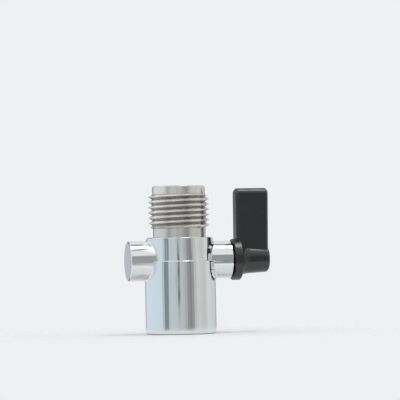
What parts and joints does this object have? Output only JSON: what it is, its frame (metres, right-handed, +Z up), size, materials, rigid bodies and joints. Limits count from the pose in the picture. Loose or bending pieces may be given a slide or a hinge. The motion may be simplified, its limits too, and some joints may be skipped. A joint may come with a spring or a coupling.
{
  "type": "shower volume control valve",
  "caption": "Plated shower volume control valve: a threaded socket below, a threaded neck above and a black side lever whose quarter turn opens or closes the straight waterway.",
  "frame": {"origin": "centre of the socket's mouth, on the waterway's axis", "axes": "+Z up the waterway from the socket to the neck, +X along the barrel towards the lever, -Y towards the viewer"},
  "size_m": [0.0499, 0.0246, 0.0512],
  "materials": {
    "chrome_plate": "bright plated brass",
    "black_plastic": "satin moulded nylon",
    "plain_brass": "turned brass",
    "screw_steel": "stainless steel",
    "black_rubber": "matt rubber",
    "white_seat": "white low-friction plastic"
  },
  "bodies": {
    "body": {"valve_body": "chrome_plate", "seat_ring": "white_seat", "retaining_bush": "plain_brass", "inlet_washer": "black_rubber"},
    "lever": {"lever_handle": "black_plastic", "handle_screw": "screw_steel", "screw_washer": "screw_steel", "valve_plug": "plain_brass", "inner_oring": "black_rubber", "outer_oring": "black_rubber"}
  },
  "joints": [
    {"name": "lever_turn", "type": "hinge", "parent": "body", "child": "lever", "pos_m": [0, 0, 0.0254], "axis": [1, 0, 0], "range_deg": [0, 90]}
  ]
}
